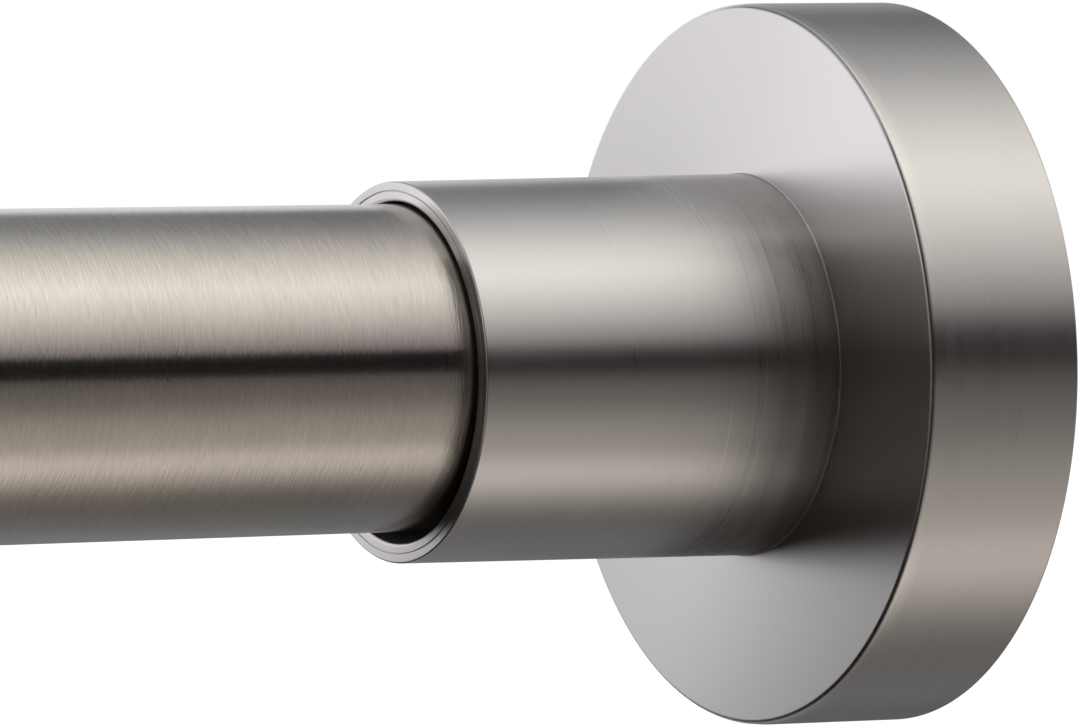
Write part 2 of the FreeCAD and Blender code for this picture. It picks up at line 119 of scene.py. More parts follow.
class RodFinish(bpy.types.PropertyGroup):
    """Colours of the finishes."""

    nickel: bpy.props.FloatVectorProperty(
        name="Casting Nickel", description="Brushed plating of the flanges",
        default=(0.724, 0.708, 0.690), subtype="COLOR", size=3, min=0, max=1)
    tube_nickel: bpy.props.FloatVectorProperty(
        name="Tube Nickel", description="Brushed plating of the tubes, a little warmer",
        default=(0.652, 0.618, 0.568), subtype="COLOR", size=3, min=0, max=1)
    steel: bpy.props.FloatVectorProperty(
        name="Plain Steel", description="Bolts, nuts and the plunger rod",
        default=(0.60, 0.60, 0.61), subtype="COLOR", size=3, min=0, max=1)
    spring_wire: bpy.props.FloatVectorProperty(
        name="Spring Wire", description="Drawn wire of the spring",
        default=(0.44, 0.43, 0.42), subtype="COLOR", size=3, min=0, max=1)
    plastic: bpy.props.FloatVectorProperty(
        name="Moulded Plastic", description="Feet, plugs, bush, guide, stop and sleeve",
        default=(0.16, 0.157, 0.15), subtype="COLOR", size=3, min=0, max=1)
    rubber: bpy.props.FloatVectorProperty(
        name="Pad Rubber", description="Wall pads",
        default=(0.022, 0.022, 0.023), subtype="COLOR", size=3, min=0, max=1)


class StudioSettings(bpy.types.PropertyGroup):
    """The camera's lens."""

    lens: bpy.props.FloatProperty(
        name="Lens", description="Focal length on a sensor 36 mm wide, in millimetres",
        default=275.9, unit="CAMERA")


# Shapes.


def rounded(corners):
    """Outline through (along, radius, rounding) corners: straight runs joined by tangent arcs.

    The arc at a corner has its centre on the bisector, at rounding / sin(half the corner's angle).
    Gives the points, their outward normals and the length run so far, ordered with the solid on the left.
    """
    spots = np.array([c[:2] for c in corners], float)
    closed = spots[0, 1] > 0 or spots[-1, 1] > 0
    area = np.sum(spots[:, 0] * np.roll(spots[:, 1], -1) - np.roll(spots[:, 0], -1) * spots[:, 1])
    rounds = np.array([c[2] for c in corners], float)
    if area < 0:
        spots, rounds = spots[::-1], rounds[::-1]
    ahead = np.roll(spots, -1, 0) - spots
    ahead /= np.linalg.norm(ahead, axis=1, keepdims=True)
    behind = np.roll(ahead, 1, 0)
    points, normals = [], []
    for i, (spot, size) in enumerate(zip(spots, rounds)):
        normal_in = np.array([behind[i, 1], -behind[i, 0]])
        normal_out = np.array([ahead[i, 1], -ahead[i, 0]])
        if not closed and i in (0, len(spots) - 1):
            points.append(spot[None])
            normals.append((normal_out if i == 0 else normal_in)[None])
            continue
        turn = math.atan2(
            behind[i, 0] * ahead[i, 1] - behind[i, 1] * ahead[i, 0], float(behind[i] @ ahead[i]))
        reach = size * math.tan(abs(turn) / 2)
        side = math.copysign(1, turn)
        start = spot - behind[i] * reach
        centre = start - normal_in * size * side
        angles = np.linspace(0, turn, ROUND_STEPS)
        cos, sin = np.cos(angles), np.sin(angles)
        swept = np.stack([normal_in[0] * cos - normal_in[1] * sin,
                          normal_in[0] * sin + normal_in[1] * cos], 1)
        points.append(centre + swept * size * side)
        normals.append(swept)
    points, normals = np.concatenate(points), np.concatenate(normals)
    if closed:
        points, normals = np.vstack([points, points[:1]]), np.vstack([normals, normals[:1]])
    run = np.concatenate([[0], np.cumsum(np.linalg.norm(np.diff(points, axis=0), axis=1))])
    return points, normals, run, closed


class Patch:
    """Part of a mesh: vertices, faces of one size each, and a normal and a UV pair for each corner."""

    def __init__(self, vertices, groups):
        self.vertices = vertices
        self.groups = groups


def turned(corners, axis_z=0.0, count=AROUND):
    """Surface of revolution about the rod's axis.

    A point is (x, r cos t, axis_z + r sin t) for outline point (x, r) and angle t.
    """
    points, normals, run, closed = rounded(corners)
    rows = len(points) - 1 if closed else len(points)
    angle = np.arange(count) * (2 * math.pi / count)
    x = np.repeat(points[:rows, :1], count, 1)
    radius = np.repeat(points[:rows, 1:], count, 1)
    grid = np.stack([x, radius * np.cos(angle), radius * np.sin(angle) + axis_z], 2)
    around = np.stack([np.repeat(normals[:rows, :1], count, 1), normals[:rows, 1:] * np.cos(angle),
                       normals[:rows, 1:] * np.sin(angle)], 2)
    number = np.arange(rows * count).reshape(rows, count)
    if not closed:
        number[0, :] = 0
        number[-1, :] = number[-1, 0]
    low = number if closed else number[:-1]
    high = np.roll(number, -1, 0) if closed else number[1:]
    share = angle[None, :] / (2 * math.pi)
    uv_low = np.stack(np.broadcast_arrays(run[:-1, None], share), 2)
    uv_high = np.stack(np.broadcast_arrays(run[1:, None], share), 2)
    step = np.array([0, 1 / count])
    ids = np.stack([low, high, np.roll(high, -1, 1), np.roll(low, -1, 1)], 2)
    uvs = np.stack([uv_low, uv_high, uv_high + step, uv_low + step], 2)
    flat = around.reshape(-1, 3)
    if closed:
        quads = ids.reshape(-1, 4)
        groups = [(quads, flat[quads], uvs.reshape(-1, 4, 2))]
    else:
        quads = ids[1:-1].reshape(-1, 4)
        first = ids[0][:, [0, 1, 2]]
        last = ids[-1][:, [0, 1, 3]]
        groups = [
            (quads, flat[quads], uvs[1:-1].reshape(-1, 4, 2)),
            (first, flat[first], uvs[0][:, [0, 1, 2]]),
            (last, flat[last], uvs[-1][:, [0, 1, 3]]),
        ]
    return Patch(grid.reshape(-1, 3), groups)


def bar(x_range, across_range, up_range, turn):
    """A straight-sided bar with its section turned about the rod's axis: the eight corners of a box."""
    x, across, up = np.meshgrid(x_range, across_range, up_range, indexing="ij")
    y = across * math.cos(turn) - up * math.sin(turn)
    z = across * math.sin(turn) + up * math.cos(turn)
    vertices = np.stack([x, y, z], 3).reshape(-1, 3)
    faces = np.array([[0, 1, 3, 2], [4, 6, 7, 5], [0, 4, 5, 1], [2, 3, 7, 6], [0, 2, 6, 4], [1, 5, 7, 3]])
    a, b, c = (vertices[faces[:, i]] for i in range(3))
    normal = np.cross(b - a, c - a)
    normal /= np.linalg.norm(normal, axis=1, keepdims=True)
    outward = np.einsum("ij,ij->i", normal, a - vertices.mean(0)) > 0
    faces = np.where(outward[:, None], faces, faces[:, ::-1])
    normal = np.where(outward[:, None], normal, -normal)
    corner_uv = np.stack([vertices[faces][..., 0], np.zeros(faces.shape)], 2)
    return Patch(vertices, [(faces, np.repeat(normal[:, None], 4, 1), corner_uv)])


def bare(faces):
    """A face group with empty normals and UV pairs, for a piece that is shaded by its sharp edges."""
    return faces, np.zeros((*faces.shape, 3)), np.zeros((*faces.shape, 2))


def lathed(x, radius, bored=False):
    """Rings about the tube's axis: at x[i] and angle 2 pi j / count the radius is radius[i, j].

    The first and last rings close to the axis, or, for a bored piece, onto each other.
    """
    rows, count = radius.shape
    angle = np.arange(count) * (2 * math.pi / count)
    rings = np.stack([np.repeat(x[:, None], count, 1), radius * np.cos(angle), radius * np.sin(angle)], 2)
    vertices = rings.reshape(-1, 3) + np.array([0, 0, TUBE_AXIS])
    number = np.arange(rows * count).reshape(rows, count)
    low, high = (number, np.roll(number, -1, 0)) if bored else (number[:-1], number[1:])
    quads = np.stack([low, high, np.roll(high, -1, 1), np.roll(low, -1, 1)], 2).reshape(-1, 4)
    faces = [quads]
    if not bored:
        poles = np.array([[x[0], 0, TUBE_AXIS], [x[-1], 0, TUBE_AXIS]])
        vertices = np.concatenate([vertices, poles])
        near, far = np.full(count, rows * count), np.full(count, rows * count + 1)
        faces.append(np.stack([near, number[0], np.roll(number[0], -1)], 1))
        faces.append(np.stack([far, np.roll(number[-1], -1), number[-1]], 1))
    if (x[-1] < x[0]) != bored:
        faces = [part[:, ::-1] for part in faces]
    return Patch(vertices, [bare(part) for part in faces])


def hexagon(width, count):
    """Radius of a hexagon at each angle: half the width / cos(angle from the middle of a flat)."""
    angle = np.arange(count) * (2 * math.pi / count)
    return width / 2 / np.cos(angle % (math.pi / 3) - math.pi / 6)


def bevelled(start, end, width, count, both=True):
    """Rings of a hexagonal head or nut whose corners are turned off to a cone of 30 degrees at its ends.

    The cone's small end is a circle 0.96 of the width; each ring is the lesser of the hexagon and the cone.
    """
    slope = math.tan(math.radians(30))
    inscribed, corner = 0.96 * width / 2, width / math.sqrt(3)
    depth = (corner - inscribed) * slope
    near = np.linspace(0, depth, 15)
    length = abs(end - start)
    run = np.concatenate([near, (length - near)[::-1] if both else [length]])
    room = np.minimum(run, length - run) if both else run
    radius = np.minimum(hexagon(width, count), (inscribed + room / slope)[:, None])
    return start + run * math.copysign(1, end - start), radius


def threaded(start, end, radius, pitch, count):
    """Rings of a screw thread: the radius falls by a blunt V as x / pitch + angle / 2 pi runs on.

    The V is 0.54 of the pitch deep, and runs out over one pitch at each end. Ten rings make a turn.
    """
    rows = round(abs(end - start) / pitch * 10)
    x = np.linspace(start, end, rows + 1)
    angle = np.arange(count) * (2 * math.pi / count)
    phase = (x[:, None] / pitch + angle / (2 * math.pi)) % 1
    cut = np.clip(1.25 * np.abs(2 * phase - 1) - 0.12, 0, 1)
    fade = np.clip(np.minimum(x - x.min(), x.max() - x) / pitch, 0, 1)[:, None]
    return x, radius - 0.54 * pitch * cut * fade


def stacked(*parts):
    """One run of rings from several."""
    return np.concatenate([x for x, radius in parts]), np.concatenate([radius for x, radius in parts])


def plain(start, end, radius, count):
    """Rings of a plain cylinder between two places."""
    return np.array([start, end]), np.full((2, count), radius)


def coil(start, end, radius, wire, turns, sections=48, sides=16):
    """Round wire wound on a helix about the tube's axis.

    The wire's centre is (x, -R cos t, R sin t); its circle lies across the helix's own direction.
    """
    t = np.linspace(0, turns * 2 * math.pi, turns * sections + 1)
    side = np.arange(sides) * (2 * math.pi / sides)
    centre = np.stack([start + (end - start) * t / t[-1], -radius * np.cos(t), radius * np.sin(t)], 1)
    outward = np.stack([np.zeros_like(t), -np.cos(t), np.sin(t)], 1)
    ahead = np.gradient(centre, axis=0)
    ahead /= np.linalg.norm(ahead, axis=1, keepdims=True)
    across = np.cross(ahead, outward)
    ring = (outward[:, None] * np.cos(side)[:, None] + across[:, None] * np.sin(side)[:, None]) * wire / 2
    vertices = (centre[:, None] + ring).reshape(-1, 3)
    number = np.arange(len(vertices)).reshape(len(t), sides)
    low, high = number[:-1], number[1:]
    quads = np.stack([low, np.roll(low, -1, 1), np.roll(high, -1, 1), high], 2).reshape(-1, 4)
    vertices = np.concatenate([vertices, centre[[0, -1]]]) + np.array([0, 0, TUBE_AXIS])
    near, far = np.full(sides, number.size), np.full(sides, number.size + 1)
    first = np.stack([near, np.roll(number[0], -1), number[0]], 1)
    last = np.stack([far, number[-1], np.roll(number[-1], -1)], 1)
    return Patch(vertices, [bare(part) for part in (quads, first, last)])


def joined(name, patches, sharp_angle=None):
    """One mesh object at the origin from several patches, shaded by their normals or by its sharp edges."""
    vertices, faces, normals, uvs, base = [], [], [], [], 0
    for patch in patches:
        vertices.append(patch.vertices)
        for ids, normal, uv in patch.groups:
            faces += (ids + base).tolist()
            normals.append(normal.reshape(-1, 3))
            uvs.append(uv.reshape(-1, 2))
        base += len(patch.vertices)
    mesh = bpy.data.meshes.new(name)
    mesh.from_pydata(np.concatenate(vertices).tolist(), [], faces)
    layer = mesh.uv_layers.new(name="Run")
    layer.data.foreach_set("uv", np.concatenate(uvs).astype(np.float32).ravel())
    mesh.shade_smooth()
    if sharp_angle is None:
        mesh.normals_split_custom_set(np.concatenate(normals).tolist())
    else:
        mesh.set_sharp_from_angle(angle=sharp_angle)
    mesh.validate()
    piece = bpy.data.objects.new(name, mesh)
    bpy.context.scene.collection.objects.link(piece)
    return piece


def settle(piece, body, material, node):
    """Give a finished piece its material and its body, and hide the solid that it stands for."""
    piece.data.materials.append(material)
    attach(piece, body)
    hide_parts(node)


# Materials.

FLOAT, VECTOR = "NodeSocketFloat", "NodeSocketVector"

# How strongly the brushing shows in a metal's colour and in its roughness.

TONE_GAIN = 5
# Brightness of the painted glints on the scratches by a collar's base, added to the colour.
SCRATCH_GLINT_GAIN = 1.8
ROUGHNESS_GAIN = 0.6
SCRATCH_ROUGHNESS = 0.06


def new_material(name):
    """A new material with its node tree, or the one that has this name, with None for its tree."""
    material = bpy.data.materials.get(name)
    if material:
        return material, None
    material = bpy.data.materials.new(name)
    material.use_nodes = True
    return material, material.node_tree


def link(tree, source, target):
    """Join an output to an input."""
    tree.links.new(source, target)


def feed(tree, sockets, values):
    """Set each input to a number, or join it to another node's output."""
    for socket, value in zip(sockets, values):
        if isinstance(value, (int, float)):
            socket.default_value = value
        else:
            link(tree, value, socket)


def math_node(tree, operation, *values):
    """The output of a Math node."""
    node = tree.nodes.new("ShaderNodeMath")
    node.operation = operation
    feed(tree, node.inputs, values)
    return node.outputs[0]


def product(tree, first, second):
    """One value times another."""
    return math_node(tree, "MULTIPLY", first, second)


def total(tree, first, second):
    """One value plus another."""
    return math_node(tree, "ADD", first, second)


def ranged(tree, value, low, high, out_low, out_high, smooth=False):
    """The value from low to high carried to out_low to out_high, and held there beyond them."""
    node = tree.nodes.new("ShaderNodeMapRange")
    node.interpolation_type = "SMOOTHSTEP" if smooth else "LINEAR"
    link(tree, value, node.inputs["Value"])
    for socket, number in zip(("From Min", "From Max", "To Min", "To Max"), (low, high, out_low, out_high)):
        node.inputs[socket].default_value = number
    return node.outputs[0]


def vector_of(tree, x, y, z):
    """A vector from three values."""
    node = tree.nodes.new("ShaderNodeCombineXYZ")
    feed(tree, node.inputs, (x, y, z))
    return node.outputs[0]


def split_vector(tree, vector):
    """The three values of a vector."""
    node = tree.nodes.new("ShaderNodeSeparateXYZ")
    link(tree, vector, node.inputs[0])
    return node.outputs


def noise(tree, vector, scale, detail=2.0, roughness=0.5):
    """Noise about 0.5 at a point."""
    node = tree.nodes.new("ShaderNodeTexNoise")
    link(tree, vector, node.inputs["Vector"])
    node.inputs["Scale"].default_value = scale
    node.inputs["Detail"].default_value = detail
    node.inputs["Roughness"].default_value = roughness
    return node.outputs["Fac"]


def group_tree(name, inputs, outputs):
    """An empty node group with named inputs (name, kind, default) and outputs (name, kind)."""
    tree = bpy.data.node_groups.new(name, "ShaderNodeTree")
    for label, kind, default in inputs:
        socket = tree.interface.new_socket(label, in_out="INPUT", socket_type=kind)
        if default is not None:
            socket.default_value = default
    for label, kind in outputs:
        tree.interface.new_socket(label, in_out="OUTPUT", socket_type=kind)
    return tree, tree.nodes.new("NodeGroupInput"), tree.nodes.new("NodeGroupOutput")


def group_node(tree, group):
    """A node that stands for a node group."""
    node = tree.nodes.new("ShaderNodeGroup")
    node.node_tree = group
    return node


def brushing_group():
    """Hairlines left by brushing round the rod's axis, with sparse deeper scratches that cross them."""
    name = "Brushing"
    if name in bpy.data.node_groups:
        return bpy.data.node_groups[name]
    tree, inside, outside = group_tree(
        name,
        [("Along", FLOAT, 0.0), ("Position", VECTOR, None), ("Lines per Metre", FLOAT, 4000.0),
         ("Line Reach", FLOAT, 40.0), ("Slant", FLOAT, 0.0), ("Scratches", FLOAT, 0.5)],
        [("Height", FLOAT), ("Tone", FLOAT), ("Scratch", FLOAT)],
    )
    position, reach = inside.outputs["Position"], inside.outputs["Line Reach"]
    y, z = split_vector(tree, position)[1:]

    def lines(lean, density, spread, detail, shift=0.0):
        """Noise that is fine along the rod and drawn out round it, leaning with the height."""
        slanted = total(tree, inside.outputs["Along"],
                        product(tree, z, product(tree, inside.outputs["Slant"], lean)))
        dense = product(tree, slanted, product(tree, inside.outputs["Lines per Metre"], density))
        place = vector_of(tree, total(tree, dense, shift),
                          product(tree, y, product(tree, reach, spread)),
                          product(tree, z, product(tree, reach, spread)))
        return noise(tree, place, 1.0, detail, 0.65)

    straight = lines(lean=0.15, density=1.0, spread=1.0, detail=3.0)
    leaning = lines(lean=1.0, density=0.8, spread=1.3, detail=2.0, shift=17.0)
    crossing = lines(lean=-1.1, density=0.7, spread=1.5, detail=2.0, shift=41.0)
    fine = total(tree, product(tree, straight, 0.5),
                 total(tree, product(tree, leaning, 0.28), product(tree, crossing, 0.22)))
    upward = lines(lean=0.9, density=0.9, spread=1.1, detail=0.0, shift=5.0)
    downward = lines(lean=-1.2, density=0.8, spread=1.2, detail=0.0, shift=9.0)
    deep = math_node(tree, "MAXIMUM", ranged(tree, upward, 0.67, 0.76, 0.0, 1.0, True),
                     ranged(tree, downward, 0.70, 0.79, 0.0, 1.0, True))
    patches = ranged(tree, noise(tree, position, 120.0), 0.42, 0.62, 0.0, 1.0, True)
    scratch = product(tree, product(tree, deep, patches), inside.outputs["Scratches"])
    cloud = math_node(tree, "SUBTRACT", noise(tree, position, 150.0, 3.0, 0.6), 0.5)
    height = math_node(tree, "SUBTRACT", fine, product(tree, scratch, 0.5))
    link(tree, height, outside.inputs["Height"])
    link(tree, total(tree, fine, product(tree, cloud, 0.3)), outside.inputs["Tone"])
    link(tree, scratch, outside.inputs["Scratch"])
    return tree


def collar_base_group():
    """1 on a collar close to its disc, falling to 0 along the collar; there the tones are stronger and the
    scratches get painted glints.
    """
    name = "Collar Base"
    if name in bpy.data.node_groups:
        return bpy.data.node_groups[name]
    tree, inside, outside = group_tree(name, [("Position", VECTOR, None)], [("Mask", FLOAT)])
    x, y, z = split_vector(tree, inside.outputs[0])
    near, far = 20 * MM, 37 * MM
    right = ranged(tree, x, -far, -near, 0.0, 1.0, True)
    left = ranged(tree, x, far - ROD_LENGTH, near - ROD_LENGTH, 0.0, 1.0, True)
    radius_squared = total(tree, product(tree, y, y), product(tree, z, z))
    on_collar = ranged(tree, radius_squared, (16 * MM) ** 2, (18 * MM) ** 2, 1.0, 0.0)
    mask = product(tree, math_node(tree, "MAXIMUM", right, left), on_collar)
    link(tree, mask, outside.inputs[0])
    return tree


def tinted(tree, shader, colour, tone):
    """Set the shader's colour to one colour, made lighter or darker by the tone."""
    tint = tree.nodes.new("ShaderNodeMix")
    tint.data_type = "RGBA"
    tint.blend_type = "MULTIPLY"
    tint.inputs["Factor"].default_value = 1.0
    tint.inputs["A"].default_value = (*colour, 1)
    link(tree, vector_of(tree, tone, tone, tone), tint.inputs["B"])
    link(tree, tint.outputs["Result"], shader.inputs["Base Color"])


def bumped(tree, shader, height, depth):
    """Give the shader a bump of this depth in metres."""
    bump = tree.nodes.new("ShaderNodeBump")
    bump.inputs["Distance"].default_value = depth
    link(tree, height, bump.inputs["Height"])
    link(tree, bump.outputs[0], shader.inputs["Normal"])


def brushed_along(tree, shader, anisotropic):
    """Stretch the shine across the brushing, and give the distance along the outline, from the UV map."""
    shader.inputs["Anisotropic"].default_value = anisotropic
    tangent = tree.nodes.new("ShaderNodeTangent")
    tangent.direction_type = "UV_MAP"
    tangent.uv_map = "Run"
    link(tree, tangent.outputs[0], shader.inputs["Tangent"])
    run = tree.nodes.new("ShaderNodeUVMap")
    run.uv_map = "Run"
    return split_vector(tree, run.outputs[0])[0]


def metal(name, colour, roughness, lines=2600.0, reach=300.0, slant=0.3, scratches=0.4, depth=3e-6,
          anisotropic=0.0, contrast=0.06, marks=0.0):
    """Metal brushed round the rod's axis, with so many lines a metre; more reach makes them shorter.

    The lines fade as the surface turns to face along the axis. marks is how much stronger the tones are
    on a collar by its disc, where the grooves are shallower and the scratches get painted glints: light
    lines in the colour that stand in for the light the scratches catch.
    """
    material, tree = new_material(name)
    if tree is None:
        return material
    shader = tree.nodes["Principled BSDF"]
    shader.inputs["Metallic"].default_value = 1.0
    place = tree.nodes.new("ShaderNodeTexCoord")
    position = place.outputs["Object"]
    if anisotropic:
        along = brushed_along(tree, shader, anisotropic)
    else:
        along = split_vector(tree, position)[0]
    brushing = group_node(tree, brushing_group())
    feed(tree, brushing.inputs, (along, position, lines, reach, slant, scratches))
    scratch = brushing.outputs["Scratch"]
    facing = math_node(tree, "ABSOLUTE", split_vector(tree, place.outputs["Normal"])[0])
    grooves = ranged(tree, facing, 0.5, 0.95, 1.0, 0.05, True)
    contours = grooves
    height = brushing.outputs["Height"]
    if marks:
        base = group_node(tree, collar_base_group())
        link(tree, position, base.inputs[0])
        extra = product(tree, base.outputs[0], marks)
        contours = product(tree, contours, total(tree, extra, 1.0))
        grooves = product(tree, grooves, math_node(tree, "SUBTRACT", 1.0, extra))
        height = brushing.outputs["Tone"]
    spread = product(tree, math_node(tree, "SUBTRACT", brushing.outputs["Tone"], 0.5), contours)
    tone = total(tree, product(tree, spread, contrast * TONE_GAIN), 1.0 - contrast / 3)
    # Painted glints: by a collar's base the scratches are made lighter in colour, standing in for the light
    # they catch.
    if marks:
        painted_scratch_glint = product(tree, product(tree, scratch, base.outputs[0]), contours)
        tone = total(tree, tone, product(tree, painted_scratch_glint, SCRATCH_GLINT_GAIN * marks))
    tinted(tree, shader, colour, tone)
    uneven = total(tree, product(tree, spread, roughness * ROUGHNESS_GAIN), roughness)
    link(tree, total(tree, uneven, product(tree, scratch, SCRATCH_ROUGHNESS)), shader.inputs["Roughness"])
    bumped(tree, shader, product(tree, height, grooves), depth)
    return material


def nickel_casting():
    """Plating of the flanges, turned with close even lines."""
    colour = bpy.context.scene.rod_finish.nickel
    # marks 0.6 gives stronger tones and painted glints on the scratches by each collar's base.
    return metal("brushed_nickel_casting", colour, roughness=0.30, lines=4600.0, reach=16.0, slant=0.015,
                 scratches=0.2, depth=1.6e-5, anisotropic=0.74, contrast=0.03, marks=0.6)


def nickel_tube():
    """Plating of the tubes, brushed with short lines that cross."""
    colour = bpy.context.scene.rod_finish.tube_nickel
    return metal("brushed_nickel_tube", colour, roughness=0.19, lines=7600.0, reach=420.0, slant=0.16,
                 scratches=0.25, depth=2.8e-5, anisotropic=0.85, contrast=0.11)


def steel():
    """Plain turned steel, with the usual lines."""
    return metal("plain_steel", bpy.context.scene.rod_finish.steel, roughness=0.34)


def spring_steel():
    """Drawn spring wire, with the usual lines."""
    return metal("spring_steel", bpy.context.scene.rod_finish.spring_wire, roughness=0.3)


def grain_group():
    """Fine even grain of a moulded surface, with faint cloudiness."""
    name = "Moulded Grain"
    if name in bpy.data.node_groups:
        return bpy.data.node_groups[name]
    tree, inside, outside = group_tree(
        name, [("Position", VECTOR, None)], [("Height", FLOAT), ("Cloud", FLOAT)])
    link(tree, noise(tree, inside.outputs[0], 5200.0, 3.0, 0.6), outside.inputs["Height"])
    link(tree, noise(tree, inside.outputs[0], 90.0, 3.0, 0.55), outside.inputs["Cloud"])
    return tree


def moulded(name, colour, roughness, depth):
    """Plastic or rubber from a mould, a little cloudy in colour and shine."""
    material, tree = new_material(name)
    if tree is None:
        return material
    shader = tree.nodes["Principled BSDF"]
    place = tree.nodes.new("ShaderNodeTexCoord")
    grain = group_node(tree, grain_group())
    link(tree, place.outputs["Object"], grain.inputs[0])
    cloud = grain.outputs["Cloud"]
    tinted(tree, shader, colour, ranged(tree, cloud, 0.3, 0.7, 0.88, 1.1))
    uneven = ranged(tree, cloud, 0.3, 0.7, roughness - 0.06, roughness + 0.06)
    link(tree, uneven, shader.inputs["Roughness"])
    bumped(tree, shader, grain.outputs["Height"], depth)
    return material


def plastic():
    """Plastic of the feet, plugs, bush, guide, stop and sleeve."""
    return moulded("moulded_plastic", bpy.context.scene.rod_finish.plastic, roughness=0.5, depth=6e-6)


def rubber():
    """Rubber of the wall pads."""
    return moulded("pad_rubber", bpy.context.scene.rod_finish.rubber, roughness=0.82, depth=2e-5)


# Distances from a wall and radii, as the solids have them.

PAD = 1.5 * MM
FOOT_FLOOR = 4.0 * MM
FOOT_FRONT = 6.5 * MM
RIB_FRONT = 11.9 * MM
DISC_FRONT = 14.75 * MM
FACE_WALL = 3.0 * MM
MOUTH = 46.0 * MM
BOLT_PLACES = (7.65 * MM, 11.65 * MM, 15.5 * MM, 28.85 * MM)  # a bolt's back, seat, thread and tip

PIVOT_HOLE = 3.66 * MM
COLLAR_BORE = 13.26 * MM
CAVITY_RADIUS = 26.7 * MM
FOOT_RADIUS = 26.65 * MM
PAD_RADIUS = 25.05 * MM
BOLT_RADIUS = 3.0 * MM
NUT_BORE = 3.02 * MM
NUT_WIDTH = 10.0 * MM
THREAD_PITCH = 1.0 * MM

RIB_COUNT = 6
RIB_HALF = 0.8 * MM
RIB_START = 8.0 * MM
RIB_END = 26.9 * MM

# The body at each wall.

WALL_ENDS = {"right": "right_wall_end", "left": "left_wall_end"}


def axis_place(side, distance):
    """The place on the rod's axis that lies this far from a wall."""
    return -distance if side == "right" else distance - ROD_LENGTH


def from_wall(side, corners):
    """Turn (distance from the wall, radius, rounding) corners into places on the rod's axis."""
    return [(axis_place(side, distance), radius, size) for distance, radius, size in corners]


def ribs(side, back, front, outer):
    """Bars like spokes, from one distance off the wall to another and out to a radius."""
    span = axis_place(side, back), axis_place(side, front)
    return [bar(span, (-RIB_HALF, RIB_HALF), (RIB_START, outer), index * 2 * math.pi / RIB_COUNT)
            for index in range(RIB_COUNT)]


def flange_outline():
    """The casting's section: the disc, the collar with a line round its mouth, and the hollows."""
    sizes = bpy.context.scene.rod_sizes
    base, mouth, disc = sizes.collar_base_radius, sizes.collar_mouth_radius, sizes.disc_front_radius
    edge, step = mouth - 0.67 * MM, sizes.groove_depth
    return [
        (PAD, sizes.disc_back_radius, 0.25 * MM),
        (DISC_FRONT - 1.1 * MM, disc + 0.01 * MM, 5.0 * MM),
        (DISC_FRONT - 0.38 * MM, disc - 0.06 * MM, 1.0 * MM),
        (DISC_FRONT, disc - 0.21 * MM, sizes.disc_edge_round),
        (DISC_FRONT, base, sizes.collar_fillet),
        (MOUTH, mouth, sizes.mouth_round),
        (MOUTH, edge, 0.03 * MM),
        (MOUTH - step, edge - 0.03 * MM, 0.02 * MM),
        (MOUTH - step, edge - 0.10 * MM, 0.02 * MM),
        (MOUTH, edge - 0.13 * MM, 0.03 * MM),
        (MOUTH, COLLAR_BORE, 0.25 * MM),
        (DISC_FRONT, COLLAR_BORE, 0.4 * MM),
        (DISC_FRONT, PIVOT_HOLE, 0.1 * MM),
        (DISC_FRONT - FACE_WALL, PIVOT_HOLE, 0.1 * MM),
        (DISC_FRONT - FACE_WALL, CAVITY_RADIUS, 0.8 * MM),
        (PAD, CAVITY_RADIUS, 0.2 * MM),
    ]


class RodFlanges(bpy.types.Operator):
    """Build the two cast wall flanges"""

    bl_idname = "tension_rod.flanges"
    bl_label = "Wall Flanges"

    def execute(self, context):
        for side, body in WALL_ENDS.items():
            shell = turned(from_wall(side, flange_outline()), count=AROUND * 2)
            piece = joined(f"{side}_flange_casting", [shell, *ribs(side, FOOT_FRONT, RIB_FRONT, RIB_END)])
            settle(piece, body, nickel_casting(), f"{side}_flange")
        return {"FINISHED"}


class RodTubes(bpy.types.Operator):
    """Build the outer and the inner tube"""

    bl_idname = "tension_rod.tubes"
    bl_label = "Tubes"

    def execute(self, context):
        for name, low, high, wall, body, node in (
            ("outer_tube_wall", TUBE_LOW, TUBE_HIGH, 0.8 * MM, "outer_tube_set", "outer_tube"),
            ("inner_tube_wall", INNER_LOW, INNER_HIGH, 0.7 * MM, "inner_tube_set", "inner_tube"),
        ):
            radius = (high.y - low.y) / 2
            corners = [(low.x, radius, 0.15 * MM), (high.x, radius, 0.15 * MM),
                       (high.x, radius - wall, 0.1 * MM), (low.x, radius - wall, 0.1 * MM)]
            piece = joined(name, [turned(corners, TUBE_AXIS)])
            settle(piece, body, nickel_tube(), node)
        return {"FINISHED"}


class RodBush(bpy.types.Operator):
    """Build the bush on the outer tube's open end"""

    bl_idname = "tension_rod.bush"
    bl_label = "Mouth Bush"

    def execute(self, context):
        low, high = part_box("outer_tube_mouth_bush")
        lip = (high.y - low.y) / 2
        hole, spigot = 11.15 * MM, 11.88 * MM
        shoulder = low.x + 2.0 * MM
        corners = [(low.x, lip, 0.7 * MM), (shoulder, lip, 0.2 * MM), (shoulder, spigot, 0.05 * MM),
                   (high.x, spigot, 0.3 * MM), (high.x, hole, 0.2 * MM), (low.x, hole, 0.35 * MM)]
        piece = joined("mouth_bush", [turned(corners, TUBE_AXIS)])
        settle(piece, "outer_tube_set", plastic(), "outer_tube_mouth_bush")
        return {"FINISHED"}


